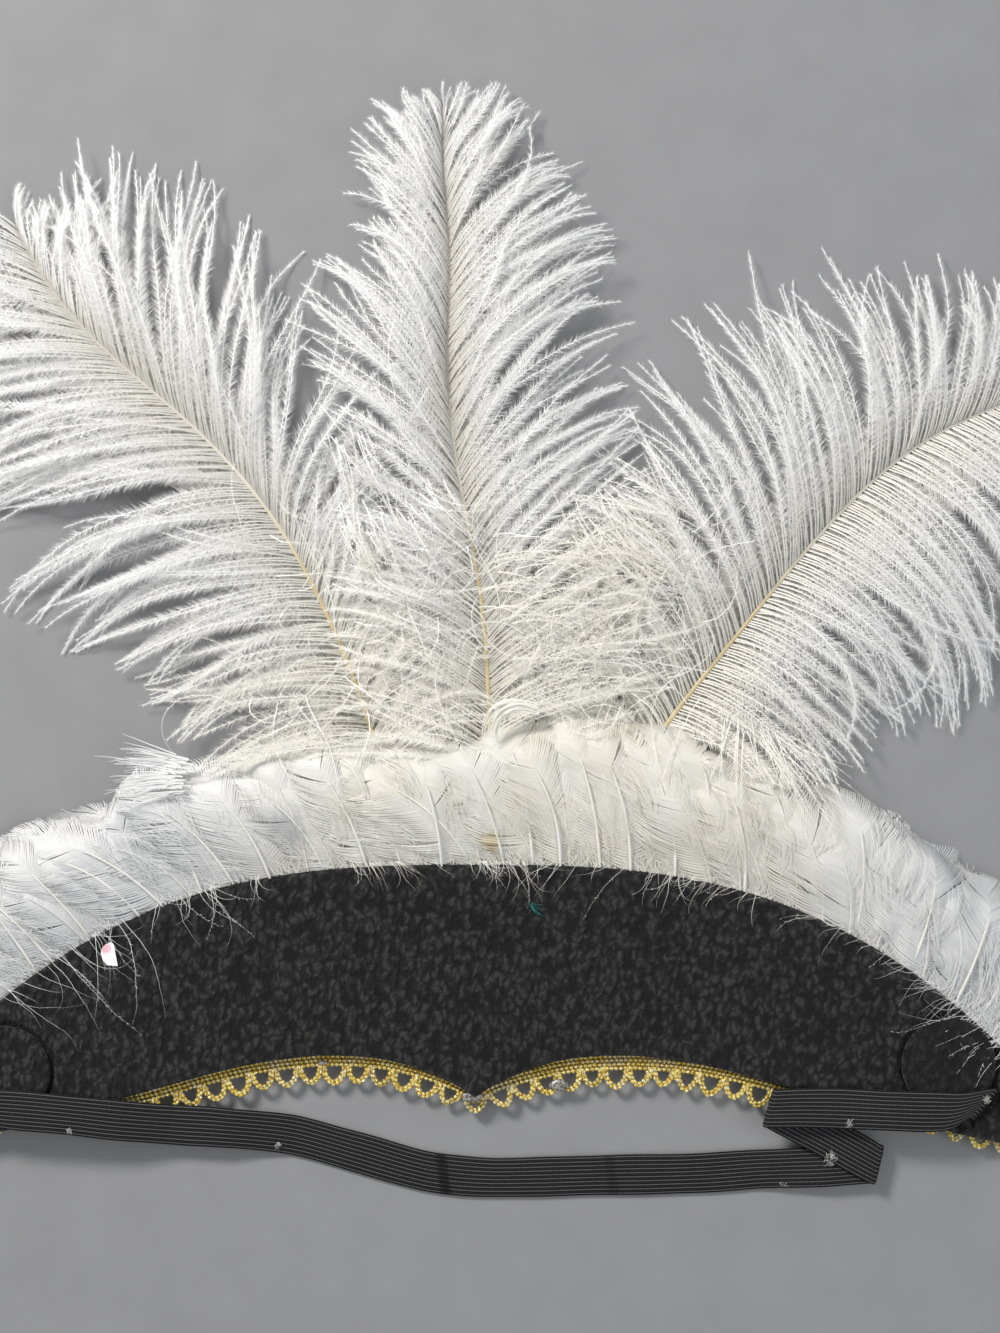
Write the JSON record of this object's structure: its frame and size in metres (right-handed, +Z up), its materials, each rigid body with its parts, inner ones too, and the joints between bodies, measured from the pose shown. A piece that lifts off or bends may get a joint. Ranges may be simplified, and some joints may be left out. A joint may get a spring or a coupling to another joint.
{
  "type": "carnival feather headdress",
  "caption": "Crescent headdress lying face down: black fleece back, gold picot braid, ribbed elastic strap, white goose fringe and tall white ostrich plumes.",
  "frame": {"origin": "on the surface that the headdress lies on, under the middle of its bounding box", "axes": "+X along the crescent, to the right as its back is seen, +Y from the peak to the plume tips, +Z up, out of the back that touches the wearer's hair"},
  "size_m": [0.3768, 0.3052, 0.0147],
  "materials": {
    "black_fleece": "matte",
    "patch_fleece": "matte",
    "black_elastic": "satin",
    "gold_thread": "satin",
    "goose_feather": "satin",
    "ostrich_feather": "matte"
  },
  "bodies": {
    "root": {"fleece_panel": "black_fleece", "end_patch_left": "patch_fleece", "end_patch_right": "patch_fleece", "elastic_strap": "black_elastic", "picot_braid": "gold_thread", "feather_fringe": "goose_feather", "plume_left": "ostrich_feather", "plume_center": "ostrich_feather", "plume_right": "ostrich_feather"}
  },
  "joints": []
}
